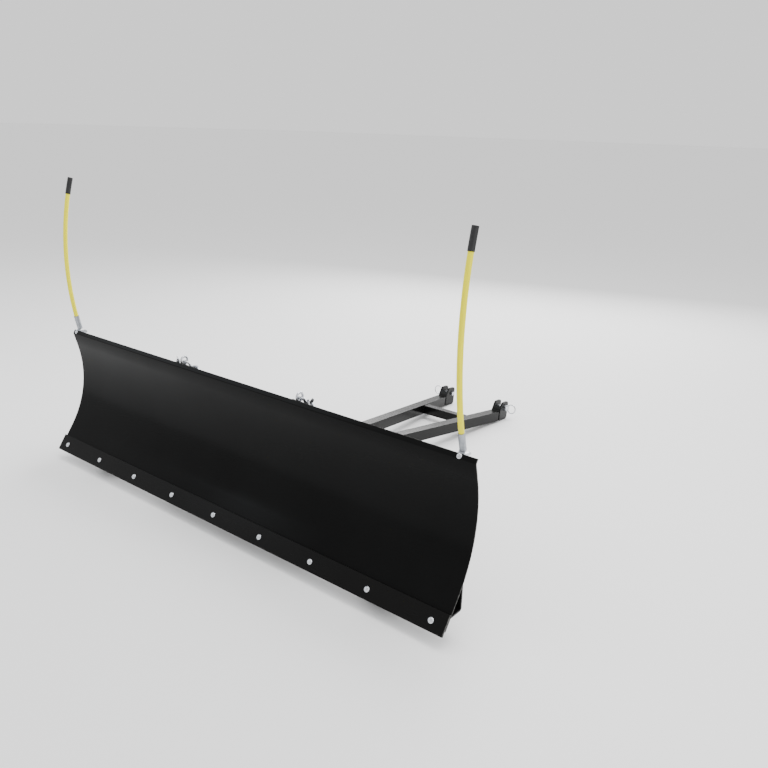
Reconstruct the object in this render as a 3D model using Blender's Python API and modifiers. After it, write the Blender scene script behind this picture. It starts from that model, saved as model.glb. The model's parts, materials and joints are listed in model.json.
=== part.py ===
"""A 60 inch snow plow for an ATV, parked on its skid shoes and the rear end of its push frame.

Metres, +Z up. +X is the viewer's right when looking at the front of the blade, the blade faces -Y, and the push
frame runs back along +Y. The origin is on the floor, midway along and midway across the plow.
"""

import math

import bmesh
import bpy
from mathutils import Matrix, Vector

# Blade. The blade is modelled as it stands when parked: tipped back by PARKED_TILT from its plowing attitude.
BLADE_WIDTH = 1.524
SHEET = 0.0034
GAP = 0.0003
LOWER_LEAN = math.radians(34.5)
UPPER_LEAN = math.radians(-15.0)
LIP_LEAN = math.radians(32.0)
LOWER_FLAT = 0.090
CURVE_RADIUS = 0.318
UPPER_FLAT = 0.043
LIP_LENGTH = 0.0126
SHEET_LOWER_EDGE = 0.0125
PARKED_TILT = math.radians(8.7)

# Wear bar and its carriage bolts.
WEAR_BAR_HEIGHT = 0.0508
WEAR_BAR_THICKNESS = 0.00635
BOLT_COUNT = 9
BOLT_SPACING = 0.1809
BOLT_HEIGHT = 0.0235
BOLT_HEAD_RADIUS = 0.0074
BOLT_RADIUS = 0.0038
BOLT_HOLE_RADIUS = 0.0042

# Stiffener angle along the back of the blade's lower edge.
ANGLE_BACK_Y = 0.079
ANGLE_BOTTOM_Z = 0.027
ANGLE_TOP_Z = 0.0915
ANGLE_THICKNESS = 0.0048
ANGLE_BEND = 0.0065

# Ribs, and the trip hinge in the lugs of the two inner ones.
RIB_THICKNESS = 0.0064
RIB_TOP_Z = 0.362
INNER_RIB_X = 0.198
OUTER_RIB_X = 0.470
TRIP_PIN_Y = 0.130
TRIP_PIN_Z = 0.070
TRIP_PIN_RADIUS = 0.0063
LUG_RADIUS = 0.020

# Spring anchors behind the top lip.
ANCHOR_X = 0.228
ANCHOR_Y = 0.1165
ANCHOR_Z = 0.3885
LIP_BOLT_RADIUS = 0.0036
EYE_RADIUS = 0.0106
EYE_WIRE = 0.0032
ANCHOR_TAB_Z = 0.372
ANCHOR_TAB_END = 0.268
WING_STUD_X = 0.257

# Trip springs.
SPRING_RADIUS = 0.0180
SPRING_WIRE = 0.0031
SPRING_TURNS = 22
SPRING_HOOK = 0.042
HOOK_RADIUS = 0.0125

# Skid shoes.
SKID_X = 0.545
SKID_Y = 0.121
SKID_Z = 0.064
SOCKET_RADIUS = 0.0155
SOCKET_BORE = 0.0101
SOCKET_LENGTH = 0.060
STEM_RADIUS = 0.0095
STEM_TOP = 0.076
SHOE_DEPTH = 0.092
SHOE_RADIUS = 0.052
SPACER_RADIUS = 0.0175
COLLAR_TOP = 0.026
LYNCH_PIN_HEIGHT = 0.0585
LYNCH_PIN_RADIUS = 0.0032

# Markers at the blade's ends.
MARKER_X = {"left": -0.748, "right": 0.718}
MARKER_BASE_Y = 0.108
MARKER_BASE_Z = 0.389
MARKER_ROD_RADIUS = 0.0065
MARKER_SLEEVE_RADIUS = 0.00785
MARKER_LEAN = {"left": math.radians(-13.5), "right": math.radians(-16.5)}
MARKER_CURVE_RADIUS = 0.90
MARKER_LENGTH = 0.476
SLEEVE_LENGTH = 0.044
CAP_LENGTH = 0.050

# Swivel head. Its datum is the king bolt's axis, halfway up the turntable plate.
KING_TO_TRIP_PIN = 0.1278
BEAM_SIZE = 0.050
BEAM_LENGTH = 0.540
BEAM_WALL = 0.005
BEAM_FRONT = 0.0278
PLATE = 0.008
TRIP_PIN_DROP = PLATE / 2 + GAP + BEAM_SIZE / 2
EAR = 0.006
INDEX_RADIUS = 0.110
INDEX_STEP = math.radians(10.0)
INDEX_HOLE_RADIUS = 0.0070
TURNTABLE_RADIUS = 0.130
BUSH_RADIUS = 0.024
SPRING_FOOT_Y = 0.030
SPRING_FOOT_Z = 0.058
SPRING_FOOT_HOLE = 0.0055

# Push frame, in the same datum.
TUBE_SIZE = 0.038
TUBE_WALL = 0.003
TONGUE_RADIUS = 0.036
TONGUE_FRONT_Y = 0.145
TONGUE_REAR_Y = 0.262
FRAME_LENGTH = 1.040
FRONT_HALF_SPREAD = 0.040
REAR_HALF_SPREAD = 0.125
KING_RADIUS = 0.0095
LATCH_RADIUS = 0.00635
LATCH_STEM_RADIUS = 0.0048
LATCH_HOUSING_HEIGHT = 0.062
LATCH_COLLAR = 0.004
LATCH_SPRING_RADIUS = 0.0108
LATCH_SPRING_WIRE = 0.0010
LATCH_SPRING_TURNS = 6
LIFT_LOOP_Y = 0.205
LIFT_LOOP_WIDTH = 0.064
LIFT_LOOP_HEIGHT = 0.082
LIFT_LOOP_BAR = 0.0063
CROSS_TUBE_Y = 0.880
CROSS_TUBE_SIZE = 0.032
HITCH_PIN_RADIUS = 0.0079
CLEVIS_REACH = 0.062
CLEVIS_WIDTH = 0.038
CLEVIS_GAP = 0.024

ALONG_X = (math.pi / 2, 0.0, math.pi / 2)


# ---------------------------------------------------------------- scene helpers


def clear_scene():
    for obj in list(bpy.data.objects):
        bpy.data.objects.remove(obj, do_unlink=True)


def new_collection(name):
    collection = bpy.data.collections.new(name)
    bpy.context.scene.collection.children.link(collection)
    return collection


def new_material(name, colour, metallic, roughness):
    material = bpy.data.materials.new(name)
    material.use_nodes = True
    shader = material.node_tree.nodes["Principled BSDF"]
    shader.inputs["Base Color"].default_value = (*colour, 1.0)
    shader.inputs["Metallic"].default_value = metallic
    shader.inputs["Roughness"].default_value = roughness
    return material


clear_scene()
PARTS = new_collection("atv_plow_blade")
CUTTERS = new_collection("cutters")
CUTTERS.hide_render = True
BLACK_PAINT = new_material("black_powder_coat", (0.012, 0.012, 0.013), 0.0, 0.28)
WEAR_STEEL = new_material("wear_bar_black", (0.016, 0.016, 0.017), 0.2, 0.38)
ZINC = new_material("bright_zinc", (0.72, 0.73, 0.76), 1.0, 0.26)
DULL_ZINC = new_material("dull_zinc", (0.45, 0.46, 0.49), 0.9, 0.42)
CAST_IRON = new_material("skid_cast_iron", (0.05, 0.05, 0.052), 0.5, 0.55)
YELLOW = new_material("marker_yellow", (0.86, 0.80, 0.05), 0.0, 0.45)
BLACK_RUBBER = new_material("cap_black", (0.015, 0.015, 0.016), 0.0, 0.6)


def datum(name, parent=None, location=(0.0, 0.0, 0.0), tilt=0.0):
    """An empty that a group of parts hangs on, tilted about X."""
    empty = bpy.data.objects.new(name, None)
    empty.empty_display_size = 0.05
    empty.parent = parent
    empty.location = location
    empty.rotation_euler = (tilt, 0.0, 0.0)
    PARTS.objects.link(empty)
    return empty


def place(obj, parent, location=(0.0, 0.0, 0.0), rotation=(0.0, 0.0, 0.0)):
    obj.parent = parent
    obj.location = location
    obj.rotation_euler = rotation
    return obj


def mesh_object(name, build, smooth=False):
    """A new part whose mesh is made by build(bm)."""
    mesh = bpy.data.meshes.new(name)
    bm = bmesh.new()
    build(bm)
    bmesh.ops.recalc_face_normals(bm, faces=bm.faces)
    bm.to_mesh(mesh)
    bm.free()
    if smooth:
        mesh.shade_smooth()
        mesh.set_sharp_from_angle(angle=math.radians(35))
    obj = bpy.data.objects.new(name, mesh)
    PARTS.objects.link(obj)
    return obj


def box(name, size, centre=(0.0, 0.0, 0.0)):
    matrix = Matrix.Translation(centre) @ Matrix.Diagonal((*size, 1.0))
    return mesh_object(name, lambda bm: bmesh.ops.create_cube(bm, size=1.0, matrix=matrix))


def turning(axis):
    """The matrix that turns +Z onto the axis named."""
    turned = {"X": Matrix.Rotation(math.pi / 2, 4, "Y"), "Y": Matrix.Rotation(-math.pi / 2, 4, "X")}
    return turned.get(axis, Matrix.Identity(4))


def add_cylinder(bm, radius, length, centre, axis="Z", sides=20):
    matrix = Matrix.Translation(centre) @ turning(axis)
    bmesh.ops.create_cone(
        bm, cap_ends=True, segments=sides, radius1=radius, radius2=radius, depth=length, matrix=matrix
    )


def cylinder(name, radius, length, centre=(0.0, 0.0, 0.0), axis="Z", sides=20):
    return mesh_object(name, lambda bm: add_cylinder(bm, radius, length, centre, axis, sides), smooth=True)


def cylinders(name, radius, length, centres, axis="Z", sides=16):
    """Several equal cylinders in one mesh, for drilling a row of holes."""

    def build(bm):
        for centre in centres:
            add_cylinder(bm, radius, length, centre, axis, sides)

    return mesh_object(name, build)


def turned_part(name, profile, sides=16):
    """A solid turned about Z from a profile of (radius, height) that starts at the top of the axis."""
    mesh = bpy.data.meshes.new(name)
    mesh.from_pydata([(r, 0.0, z) for r, z in profile], [(i, i + 1) for i in range(len(profile) - 1)], [])
    obj = bpy.data.objects.new(name, mesh)
    PARTS.objects.link(obj)
    screw = obj.modifiers.new("Screw", "SCREW")
    screw.steps = sides
    screw.render_steps = sides
    screw.use_merge_vertices = True
    screw.merge_threshold = 0.00001
    return obj


def baked(obj):
    """Puts the shape that the modifiers or the curve make into a plain mesh object of the same name and place."""
    name = obj.name
    bpy.context.view_layer.update()
    mesh = bpy.data.meshes.new_from_object(obj.evaluated_get(bpy.context.evaluated_depsgraph_get()))
    bm = bmesh.new()
    bm.from_mesh(mesh)
    bmesh.ops.remove_doubles(bm, verts=bm.verts, dist=0.000005)
    bmesh.ops.recalc_face_normals(bm, faces=bm.faces)
    bm.to_mesh(mesh)
    bm.free()
    made = bpy.data.objects.new(name, mesh)
    made.parent = obj.parent
    made.matrix_parent_inverse = obj.matrix_parent_inverse
    made.matrix_basis = obj.matrix_basis
    PARTS.objects.link(made)
    bpy.data.objects.remove(obj, do_unlink=True)
    made.name = name
    mesh.name = name
    return made


def smoothed(obj):
    obj.data.shade_smooth()
    obj.data.set_sharp_from_angle(angle=math.radians(35))
    return obj


def plate(name, outline, thickness):
    """A flat plate: an outline in local X and Y, half its thickness to each side of local Z."""
    curve = bpy.data.curves.new(name, "CURVE")
    curve.dimensions = "2D"
    curve.fill_mode = "BOTH"
    curve.extrude = thickness / 2
    spline = curve.splines.new("POLY")
    spline.points.add(len(outline) - 1)
    for point, (x, y) in zip(spline.points, outline):
        point.co = (x, y, 0.0, 1.0)
    spline.use_cyclic_u = True
    obj = bpy.data.objects.new(name, curve)
    PARTS.objects.link(obj)
    return baked(obj)


def wire(name, points, radius, sides=8):
    """A round bar along points."""
    curve = bpy.data.curves.new(name, "CURVE")
    curve.dimensions = "3D"
    curve.bevel_depth = radius
    curve.bevel_resolution = sides // 2 - 2
    curve.use_fill_caps = True
    spline = curve.splines.new("POLY")
    spline.points.add(len(points) - 1)
    for point, co in zip(spline.points, points):
        point.co = (*co, 1.0)
    obj = bpy.data.objects.new(name, curve)
    PARTS.objects.link(obj)
    return smoothed(baked(obj))


def boolean(obj, other, operation):
    """Joins other to obj, or cuts it away. The other shape moves to the cutters and follows obj's parent."""
    if other.parent is None:
        other.parent = obj.parent
    for collection in list(other.users_collection):
        collection.objects.unlink(other)
    CUTTERS.objects.link(other)
    other.hide_render = True
    other.display_type = "WIRE"
    modifier = obj.modifiers.new(operation.title(), "BOOLEAN")
    modifier.operation = operation
    modifier.solver = "EXACT"
    modifier.object = other
    return obj


def cut(obj, *others):
    for other in others:
        boolean(obj, other, "DIFFERENCE")
    return obj


def join(obj, *others):
    for other in others:
        boolean(obj, other, "UNION")
    return obj


def paint(obj, material):
    obj.data.materials.clear()
    obj.data.materials.append(material)
    return obj


def copy_of(obj, name):
    made = bpy.data.objects.new(name, obj.data)
    PARTS.objects.link(made)
    return made


def arc(centre, radius, start, end, steps):
    """Points on a circle from the start angle to the end angle, both included."""
    angles = [start + (end - start) * i / steps for i in range(steps + 1)]
    return [(centre[0] + radius * math.cos(a), centre[1] + radius * math.sin(a)) for a in angles]


def rounded(corners, steps=4):
    """An outline whose corners (x, y, radius) are rounded."""
    outline = []
    for i, (x, y, radius) in enumerate(corners):
        here = Vector((x, y))
        before = (Vector(corners[i - 1][:2]) - here).normalized()
        after = (Vector(corners[(i + 1) % len(corners)][:2]) - here).normalized()
        if radius == 0.0:
            outline.append((x, y))
            continue
        half = before.angle(after) / 2
        centre = here + (before + after).normalized() * radius / math.sin(half)
        first = here + before * radius / math.tan(half) - centre
        last = here + after * radius / math.tan(half) - centre
        turn = first.angle_signed(last)
        for step in range(steps + 1):
            spoke = first.copy()
            spoke.rotate(Matrix.Rotation(-turn * step / steps, 2))
            outline.append(tuple(centre + spoke))
    return outline


# ---------------------------------------------------------------- side profile of the blade sheet


def up(lean):
    """The direction up a surface that leans back from the vertical, as (y, z)."""
    return Vector((math.sin(lean), math.cos(lean)))


def back(lean):
    """The direction square to that surface, towards its back."""
    return Vector((math.cos(lean), -math.sin(lean)))


FACE = WEAR_BAR_THICKNESS + GAP
CURVE_CENTRE = back(LOWER_LEAN) * (FACE - CURVE_RADIUS) + up(LOWER_LEAN) * LOWER_FLAT
RIDGE = CURVE_CENTRE + back(UPPER_LEAN) * CURVE_RADIUS + up(UPPER_LEAN) * UPPER_FLAT
LIP_MIDDLE = RIDGE + up(LIP_LEAN) * LIP_LENGTH / 2


def sheet_line(offset, steps=14):
    """The sheet's side profile below its lip, as (y, z) from the bottom up, offset back from its front face."""
    points = [back(LOWER_LEAN) * (FACE + offset) + up(LOWER_LEAN) * SHEET_LOWER_EDGE]
    for i in range(steps + 1):
        lean = LOWER_LEAN + (UPPER_LEAN - LOWER_LEAN) * i / steps
        points.append(CURVE_CENTRE + back(lean) * (CURVE_RADIUS + offset))
    return points


def lip_line(offset):
    """The rest of the profile: the ridge with its small bend, and the lip."""
    bend = 0.0016
    shift = offset / math.cos((LIP_LEAN - UPPER_LEAN) / 2)
    ridge = RIDGE + back((LIP_LEAN + UPPER_LEAN) / 2) * shift
    end = RIDGE + back(LIP_LEAN) * offset + up(LIP_LEAN) * LIP_LENGTH
    return [ridge - up(UPPER_LEAN) * bend, ridge + up(LIP_LEAN) * bend, end]


def behind_sheet(low, high):
    """Points up the back of the sheet, a gap clear of it, between two heights."""
    line = sheet_line(SHEET + GAP) + [RIDGE + back(UPPER_LEAN) * (SHEET + GAP)]

    def crossing(z):
        below, above = next((a, b) for a, b in zip(line, line[1:]) if a.y <= z <= b.y)
        return below.lerp(above, (z - below.y) / (above.y - below.y))

    return [crossing(low), *(p for p in line if low < p.y < high), crossing(high)]


# ---------------------------------------------------------------- attitude when parked


def parked_lift():
    """How high the wear bar's lower edge stands above the floor with the skid shoes on it."""
    rear_edge = Vector((SHOE_RADIUS * 0.80, -SHOE_DEPTH))
    drop = -rear_edge.x * math.sin(PARKED_TILT) + rear_edge.y * math.cos(PARKED_TILT)
    return -(SKID_Z + drop)


def parked_slope(lift):
    """How far the push frame slopes down to the rear, with its clevises' rounded corners on the floor."""
    reach = KING_TO_TRIP_PIN + CLEVIS_CORNER_Y
    rise = TRIP_PIN_DROP + CLEVIS_CORNER_Z
    height = lift + TRIP_PIN_Z - CLEVIS_CORNER_RADIUS
    return math.asin(height / math.hypot(reach, rise)) + math.atan2(rise, reach)


CLEVIS_CORNER_RADIUS = 0.012
CLEVIS_CORNER_Y = FRAME_LENGTH + CLEVIS_REACH - CLEVIS_CORNER_RADIUS
CLEVIS_CORNER_Z = -TUBE_SIZE / 2 + CLEVIS_CORNER_RADIUS
CLEVIS_TOP_Z = 0.052
HITCH_PIN_Y = FRAME_LENGTH + 0.042
HITCH_PIN_Z = 0.028
LIFT = parked_lift()
SLOPE = parked_slope(LIFT)


def head_to_blade(y, z):
    """A point of the head, measured from the trip pin, in the blade's (y, z)."""
    return Vector((TRIP_PIN_Y, TRIP_PIN_Z)) + back(SLOPE) * y + up(SLOPE) * z


KING_IN_BLADE = head_to_blade(KING_TO_TRIP_PIN, TRIP_PIN_DROP)
TOTAL_LENGTH = (
    KING_IN_BLADE.x
    + CLEVIS_CORNER_Y * math.cos(SLOPE)
    + (CLEVIS_TOP_Z - CLEVIS_CORNER_RADIUS) * math.sin(SLOPE)
    + CLEVIS_CORNER_RADIUS
)

PUSH_FRAME = datum(
    "push_frame_datum", None, (0.0, KING_IN_BLADE.x - TOTAL_LENGTH / 2, LIFT + KING_IN_BLADE.y), -SLOPE
)
HEAD = datum("swivel_datum", PUSH_FRAME)
TRIP_HINGE = datum("trip_hinge_datum", HEAD, (0.0, -KING_TO_TRIP_PIN, -TRIP_PIN_DROP), SLOPE)
BLADE = datum("blade_datum", TRIP_HINGE, (0.0, -TRIP_PIN_Y, -TRIP_PIN_Z))
WEAR_BAR_PLANE = datum("wear_bar_datum", BLADE, tilt=-LOWER_LEAN)
LIP_PLANE = datum("lip_datum", BLADE, (0.0, *LIP_MIDDLE), -LIP_LEAN)
SIDES = (("left", -1.0), ("right", 1.0))


# ---------------------------------------------------------------- blade


def bolt_places():
    return [BOLT_SPACING * (i - (BOLT_COUNT - 1) / 2) for i in range(BOLT_COUNT)]


def mouldboard():
    front = sheet_line(0.0) + lip_line(0.0)
    rear = sheet_line(SHEET) + lip_line(SHEET)
    sheet = plate("mouldboard", [tuple(p) for p in front + rear[::-1]], BLADE_WIDTH)
    place(sheet, BLADE, rotation=ALONG_X)
    wear_holes = [(x, FACE, BOLT_HEIGHT) for x in bolt_places()]
    drill = place(cylinders("sheet_drill", BOLT_HOLE_RADIUS, 0.02, wear_holes, "Y", 12), WEAR_BAR_PLANE)
    lip_holes = [(x, 0.0, 0.0) for x in MARKER_X.values()]
    lip_drill = place(cylinders("lip_drill", LIP_BOLT_RADIUS + GAP, 0.02, lip_holes, "Y"), LIP_PLANE)
    paint(cut(sheet, drill, lip_drill), BLACK_PAINT)


def wear_bar():
    size = (BLADE_WIDTH, WEAR_BAR_THICKNESS, WEAR_BAR_HEIGHT)
    bar = place(box("wear_bar", size, (0.0, size[1] / 2, size[2] / 2)), WEAR_BAR_PLANE)
    bevel = bar.modifiers.new("Bevel", "BEVEL")
    bevel.width = 0.0006
    bevel.segments = 1
    holes = [(x, 0.0, BOLT_HEIGHT) for x in bolt_places()]
    drill = place(cylinders("wear_bar_drill", BOLT_HOLE_RADIUS, 0.03, holes, "Y", 12), WEAR_BAR_PLANE)
    paint(cut(bar, drill), WEAR_STEEL)


def dome(radius, height, steps=3):
    """The profile of a domed head, from the middle of its top to its rim."""
    return [
        (radius * math.sin(math.pi / 2 * i / steps), height * math.cos(math.pi / 2 * i / steps)) for i in range(steps)
    ] + [(radius, height * 0.12)]


def wear_bar_bolts():
    """Carriage bolts with their flange nuts: dome in front, nut behind the sheet."""
    nut_face = -(WEAR_BAR_THICKNESS + SHEET + 2 * GAP)
    profile = dome(BOLT_HEAD_RADIUS, 0.0044) + [
        (BOLT_HEAD_RADIUS, GAP),
        (BOLT_RADIUS, GAP),
        (BOLT_RADIUS, nut_face),
        (0.0086, nut_face),
        (0.0086, nut_face - 0.0014),
        (BOLT_RADIUS, nut_face - 0.0020),
        (BOLT_RADIUS, nut_face - 0.012),
        (0.0, nut_face - 0.012),
    ]
    bolt = turned_part("wear_bar_bolt_1", profile, 12)
    nut = cylinder("wear_bar_nut", 0.0072, 0.0075, (0.0, 0.0, nut_face - 0.0045), sides=6)
    bolt = smoothed(baked(join(bolt, nut)))
    paint(bolt, ZINC)
    for i, x in enumerate(bolt_places()):
        placed = bolt if i == 0 else copy_of(bolt, f"wear_bar_bolt_{i + 1}")
        place(placed, WEAR_BAR_PLANE, (x, 0.0, BOLT_HEIGHT), (math.pi / 2, 0.0, 0.0))


def lower_stiffener():
    """A bent angle closing the back of the blade's lower edge."""
    inside_y = ANGLE_BACK_Y - ANGLE_THICKNESS
    inside_z = ANGLE_BOTTOM_Z + ANGLE_THICKNESS
    toe = behind_sheet(ANGLE_BOTTOM_Z, inside_z)
    corners = [
        (toe[0].x + 0.0004, ANGLE_BOTTOM_Z, 0.0),
        (ANGLE_BACK_Y, ANGLE_BOTTOM_Z, ANGLE_BEND),
        (ANGLE_BACK_Y, ANGLE_TOP_Z, 0.0),
        (inside_y, ANGLE_TOP_Z, 0.0),
        (inside_y, inside_z, ANGLE_BEND - ANGLE_THICKNESS),
        (toe[-1].x + 0.0004, inside_z, 0.0),
    ]
    angle = plate("lower_stiffener", rounded(corners), BLADE_WIDTH - 0.004)
    paint(place(angle, BLADE, rotation=ALONG_X), BLACK_PAINT)


def rib_front(top):
    low = ANGLE_TOP_Z + 0.0015
    return [(p.x, p.y, 0.0) for p in behind_sheet(low, top)], (ANGLE_BACK_Y + GAP, low, 0.0)


def outer_rib(side_name, side):
    front, shoulder = rib_front(RIB_TOP_Z)
    rear = [
        (0.122, RIB_TOP_Z, 0.008),
        (0.149, 0.250, 0.120),
        (0.138, 0.130, 0.060),
        (0.112, 0.040, 0.010),
        (ANGLE_BACK_Y + GAP, 0.040, 0.0),
    ]
    rib = plate(f"rib_outer_{side_name}", rounded(front + rear + [shoulder]), RIB_THICKNESS)
    paint(place(rib, BLADE, (side * OUTER_RIB_X, 0.0, 0.0), ALONG_X), BLACK_PAINT)


def inner_rib(side_name, side):
    """A rib with the trip hinge's lug, a stop edge against the head's beam, and the tab for the spring anchor."""
    front, shoulder = rib_front(ANCHOR_TAB_Z + 0.001)
    stop = [head_to_blade(BEAM_FRONT - GAP, z) for z in (0.058, 0.010)]
    rear = [
        (0.129, ANCHOR_TAB_Z + 0.001, 0.006),
        (0.155, 0.260, 0.120),
        (stop[0].x, stop[0].y, 0.006),
        (stop[1].x, stop[1].y, 0.003),
    ]
    lug = arc((TRIP_PIN_Y, TRIP_PIN_Z), LUG_RADIUS, math.radians(-25), math.radians(-150), 8)
    outline = rounded(front + rear + [(y, z, 0.0) for y, z in lug] + [(ANGLE_BACK_Y + GAP, 0.046, 0.0), shoulder])
    rib = plate(f"rib_inner_{side_name}", outline, RIB_THICKNESS)
    place(rib, BLADE, (side * INNER_RIB_X, 0.0, 0.0), ALONG_X)
    tab_length = ANCHOR_TAB_END - INNER_RIB_X
    tab = box(
        f"anchor_tab_{side_name}",
        (tab_length, 0.020, 0.005),
        (side * (INNER_RIB_X + tab_length / 2), 0.1115, ANCHOR_TAB_Z),
    )
    place(tab, BLADE)
    bore = place(
        cylinder(f"lug_drill_{side_name}", TRIP_PIN_RADIUS + 0.0004, 0.03, axis="X"),
        BLADE,
        (side * INNER_RIB_X, TRIP_PIN_Y, TRIP_PIN_Z),
    )
    shanks = [(side * x, ANCHOR_Y, ANCHOR_TAB_Z) for x in (ANCHOR_X, WING_STUD_X)]
    tab_drill = place(cylinders(f"tab_drill_{side_name}", EYE_WIRE + 0.0004, 0.03, shanks), BLADE)
    paint(cut(join(rib, tab), bore, tab_drill), BLACK_PAINT)


def spring_eyebolt(side_name, side):
    """The ring that the trip spring hooks into, standing on the rib's tab with its nut below."""
    steps = 8
    circle = arc((EYE_RADIUS, 0.0), EYE_WIRE, 0.0, -2 * math.pi, steps)[:-1]
    mesh_edges = [(i, (i + 1) % steps) for i in range(steps)]
    mesh = bpy.data.meshes.new("eye")
    mesh.from_pydata([(r, 0.0, z) for r, z in circle], mesh_edges, [])
    ring = bpy.data.objects.new(f"spring_eyebolt_{side_name}", mesh)
    PARTS.objects.link(ring)
    screw = ring.modifiers.new("Screw", "SCREW")
    screw.steps = 18
    screw.render_steps = 18
    screw.use_merge_vertices = True
    screw.merge_threshold = 0.00001
    ring = baked(ring)
    place(ring, BLADE, (side * ANCHOR_X, ANCHOR_Y, ANCHOR_Z), (0.0, math.pi / 2, 0.0))
    shank_end = ANCHOR_TAB_Z - 0.018
    shank = cylinder("eye_shank", EYE_WIRE, ANCHOR_Z - EYE_RADIUS - shank_end, sides=12)
    place(shank, BLADE, (side * ANCHOR_X, ANCHOR_Y, (ANCHOR_Z - EYE_RADIUS + shank_end) / 2))
    nut = cylinder("eye_nut", 0.0072, 0.0058, sides=6)
    place(nut, BLADE, (side * ANCHOR_X, ANCHOR_Y, ANCHOR_TAB_Z - 0.0025 - GAP - 0.0029))
    ring = smoothed(baked(join(ring, shank, nut)))
    paint(ring, ZINC)


def wing_nut_shape(name, size=1.0):
    """A wing nut on +Z from its seat at the origin, its ears spread along local X."""
    profile = [(0.0, 0.0085), (0.0045, 0.0085), (0.0065, 0.0), (0.0, 0.0)]
    body = turned_part(name, [(size * radius, size * height) for radius, height in profile], 12)
    for ear in (-1.0, 1.0):
        corners = [
            (0.0030 * ear, 0.0008, 0.0),
            (0.0062 * ear, 0.0008, 0.0),
            (0.0150 * ear, 0.0105, 0.003),
            (0.0148 * ear, 0.0190, 0.003),
            (0.0100 * ear, 0.0175, 0.003),
            (0.0030 * ear, 0.0075, 0.0),
        ]
        corners = [tuple(size * value for value in corner) for corner in corners]
        wing = plate(f"{name}_ear", rounded(corners), 0.0026 * size)
        wing.rotation_euler = (math.pi / 2, 0.0, 0.0)
        join(body, wing)
    return body


def wing_stud(side_name, side):
    """The wing nut on its bolt beside each spring anchor."""
    seat = ANCHOR_TAB_Z + 0.0025 + GAP
    under = 0.005 + 2 * GAP
    nut = wing_nut_shape(f"wing_bolt_{side_name}")
    shank = cylinder("wing_shank", EYE_WIRE, under + 0.016, (0.0, 0.0, 0.005 - under / 2), sides=12)
    head = cylinder("wing_bolt_head", 0.0066, 0.0042, (0.0, 0.0, -under - 0.0021), sides=6)
    nut = baked(join(nut, shank, head))
    place(nut, BLADE, (side * WING_STUD_X, ANCHOR_Y, seat), (0.0, 0.0, side * math.radians(28)))
    paint(nut, ZINC)


def skid_socket(side_name, side):
    """The tube that a skid shoe's stem runs in, on its bracket behind the stiffener."""
    socket = cylinder(f"skid_socket_{side_name}", SOCKET_RADIUS, SOCKET_LENGTH)
    place(socket, BLADE, (side * SKID_X, SKID_Y, SKID_Z), (-PARKED_TILT, 0.0, 0.0))
    back_plate = box(
        f"socket_plate_{side_name}", (0.074, 0.006, 0.052), (side * SKID_X, ANGLE_BACK_Y + GAP + 0.003, SKID_Z)
    )
    place(back_plate, BLADE)
    webs = []
    for web_side in (-1.0, 1.0):
        corners = [
            (ANGLE_BACK_Y + 0.002, SKID_Z - 0.024, 0.0),
            (SKID_Y, SKID_Z - 0.016, 0.0),
            (SKID_Y, SKID_Z + 0.020, 0.0),
            (ANGLE_BACK_Y + 0.002, SKID_Z + 0.024, 0.0),
        ]
        web = plate(f"socket_web_{side_name}", rounded(corners), 0.005)
        place(web, BLADE, (side * SKID_X + web_side * 0.012, 0.0, 0.0), ALONG_X)
        webs.append(web)
    bore = cylinder(f"socket_bore_{side_name}", SOCKET_BORE, 0.12)
    place(bore, BLADE, (side * SKID_X, SKID_Y, SKID_Z), (-PARKED_TILT, 0.0, 0.0))
    paint(cut(join(socket, back_plate, *webs), bore), BLACK_PAINT)


# ---------------------------------------------------------------- markers


def marker_tube(name, lean, start, end, radius, steps, sides=12):
    """A stretch of a marker, from start to end along its middle line, which leans forward and curves back."""
    centre = Vector((MARKER_BASE_Y, MARKER_BASE_Z)) + back(lean) * MARKER_CURVE_RADIUS
    points = []
    for i in range(steps + 1):
        turned = lean + (start + (end - start) * i / steps) / MARKER_CURVE_RADIUS
        points.append((0.0, *(centre - back(turned) * MARKER_CURVE_RADIUS)))
    return place(wire(name, points, radius, sides), BLADE)


def marker(side_name, side):
    inset = 0.018
    lean = MARKER_LEAN[side_name]
    end = MARKER_LENGTH
    rod_end = end - 0.004
    sleeve = marker_tube(f"marker_sleeve_{side_name}", lean, 0.0, SLEEVE_LENGTH, MARKER_SLEEVE_RADIUS, 3)
    bore = marker_tube("sleeve_bore", lean, SLEEVE_LENGTH - inset, SLEEVE_LENGTH + 0.01, MARKER_ROD_RADIUS + GAP, 3)
    strap_middle = (0.0, SHEET + GAP + 0.0014, 0.0058)
    strap = place(box("marker_strap", (0.015, 0.0028, 0.0168), strap_middle), LIP_PLANE)
    hole = place(cylinder("strap_drill", LIP_BOLT_RADIUS + GAP, 0.02, axis="Y", sides=12), LIP_PLANE)
    sleeve = baked(cut(join(sleeve, strap), bore, hole))
    paint(smoothed(sleeve), DULL_ZINC)
    rod = marker_tube(f"marker_rod_{side_name}", lean, SLEEVE_LENGTH - inset + GAP, rod_end, MARKER_ROD_RADIUS, 13)
    paint(rod, YELLOW)
    cap = marker_tube(f"marker_cap_{side_name}", lean, end - CAP_LENGTH, end, MARKER_ROD_RADIUS + 0.0011, 4)
    cap_bore = marker_tube("cap_bore", lean, end - CAP_LENGTH - 0.01, rod_end + GAP, MARKER_ROD_RADIUS + GAP, 4)
    cap = baked(cut(cap, cap_bore))
    paint(smoothed(cap), BLACK_RUBBER)
    for piece in (sleeve, rod, cap):
        piece.location.x = MARKER_X[side_name]


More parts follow.
